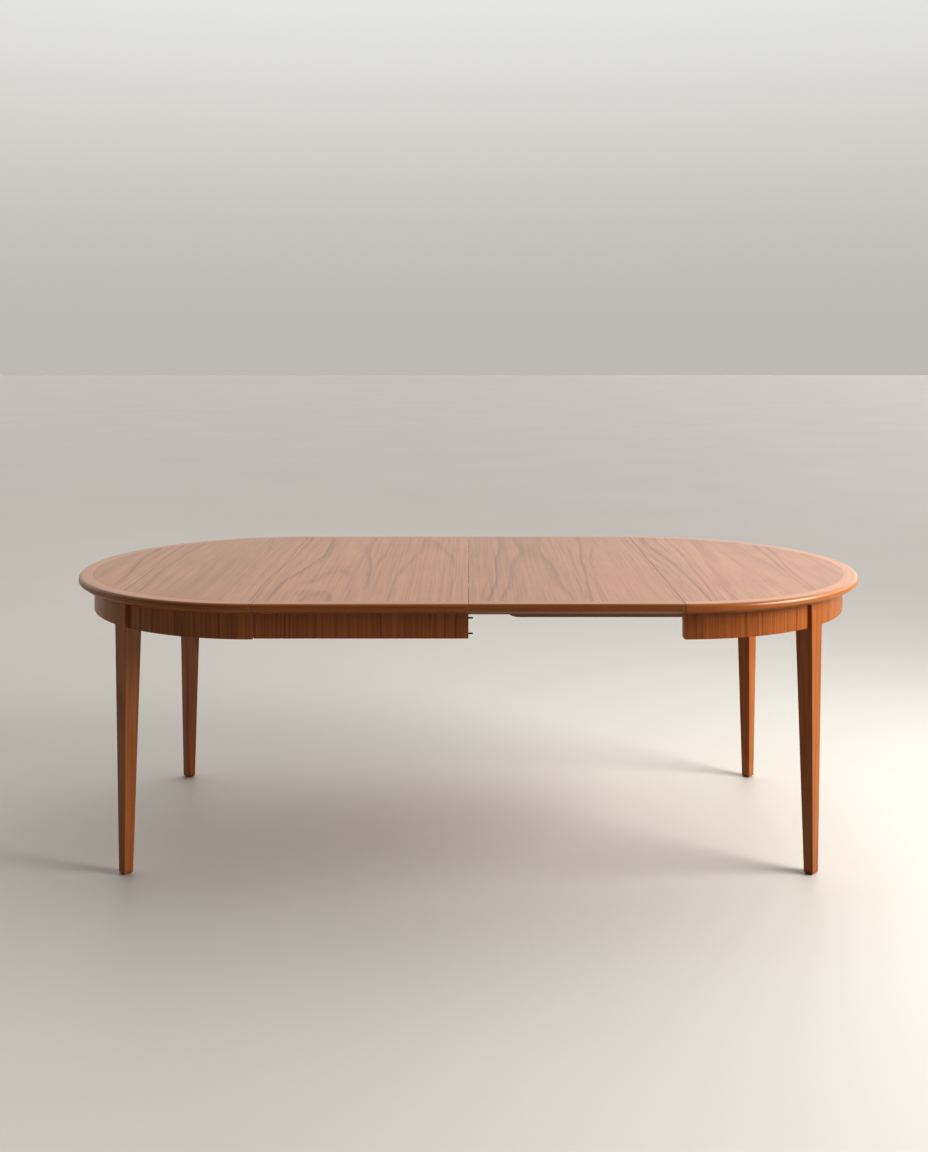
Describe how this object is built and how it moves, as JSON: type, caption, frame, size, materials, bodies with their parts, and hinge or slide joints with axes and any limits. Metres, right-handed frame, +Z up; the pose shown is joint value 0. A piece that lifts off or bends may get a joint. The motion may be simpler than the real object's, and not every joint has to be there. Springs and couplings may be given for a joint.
{
  "type": "round extending dining table",
  "caption": "Extending teak dining table with half-round ends, curved aprons, tapered legs, wooden slides and drop-in leaves.",
  "frame": {"origin": "on the floor under the middle of the extended table", "axes": "+X along the length of the table, from the half with the pins to the half without; -Y is the front; +Z up"},
  "size_m": [2.1698, 1.12, 0.725],
  "materials": {
    "top_veneer": "satin oiled teak veneer, grain across the table",
    "edge_teak": "satin oiled solid teak, grain along the edge",
    "apron_veneer": "satin oiled teak veneer, upright grain",
    "leg_teak": "satin oiled solid teak",
    "beech": "plain unfinished beech",
    "dowel_beech": "plain turned beech",
    "pin_steel": "darkened steel",
    "zinc_steel": "plain zinc-plated steel"
  },
  "bodies": {
    "left_half": {"left_top_panel": "top_veneer", "left_edge_band": "edge_teak", "left_end_apron": "apron_veneer", "left_front_apron": "apron_veneer", "left_back_apron": "apron_veneer", "left_front_leg": "leg_teak", "left_back_leg": "leg_teak", "left_front_corner_block": "beech", "left_back_corner_block": "beech", "left_leg_bolts": "zinc_steel", "left_leg_washers": "zinc_steel", "left_leg_nuts": "zinc_steel", "left_apron_dowels": "dowel_beech", "left_glue_blocks": "beech", "left_front_rail": "beech", "left_back_rail": "beech", "left_rail_screws": "zinc_steel", "left_rail_stops": "dowel_beech", "left_top_dowels": "dowel_beech", "left_apron_pins": "pin_steel"},
    "right_half": {"right_top_panel": "top_veneer", "right_edge_band": "edge_teak", "right_end_apron": "apron_veneer", "right_front_apron": "apron_veneer", "right_back_apron": "apron_veneer", "right_front_leg": "leg_teak", "right_back_leg": "leg_teak", "right_front_corner_block": "beech", "right_back_corner_block": "beech", "right_leg_bolts": "zinc_steel", "right_leg_washers": "zinc_steel", "right_leg_nuts": "zinc_steel", "right_apron_dowels": "dowel_beech", "right_glue_blocks": "beech", "right_front_rail": "beech", "right_back_rail": "beech", "right_rail_screws": "zinc_steel", "right_rail_stops": "dowel_beech"},
    "middle_runners": {"front_middle_rail": "beech", "back_middle_rail": "beech"},
    "leaf_left": {"leaf_left_panel": "top_veneer", "leaf_left_front_band": "edge_teak", "leaf_left_back_band": "edge_teak", "leaf_left_front_apron": "apron_veneer", "leaf_left_back_apron": "apron_veneer", "leaf_left_glue_blocks": "beech", "leaf_left_top_dowels": "dowel_beech", "leaf_left_apron_pins": "pin_steel"},
    "leaf_right": {"leaf_right_panel": "top_veneer", "leaf_right_front_band": "edge_teak", "leaf_right_back_band": "edge_teak", "leaf_right_top_dowels": "dowel_beech"}
  },
  "joints": [
    {"name": "runner_slide", "type": "slide", "parent": "left_half", "child": "middle_runners", "axis": [1, 0, 0], "range_m": [-0.525, 0]},
    {"name": "half_slide", "type": "slide", "parent": "middle_runners", "child": "right_half", "axis": [1, 0, 0], "range_m": [-0.525, 0]},
    {"name": "leaf_left_lift", "type": "slide", "parent": "left_half", "child": "leaf_left", "axis": [0, 0, 1], "range_m": [0, 0.735]},
    {"name": "leaf_right_lift", "type": "slide", "parent": "right_half", "child": "leaf_right", "axis": [0, 0, 1], "range_m": [0, 0.735]}
  ],
  "couplings": [
    {"joint": "leaf_left_lift", "follows": "runner_slide", "ratio": -1.4},
    {"joint": "leaf_right_lift", "follows": "half_slide", "ratio": -1.4}
  ]
}
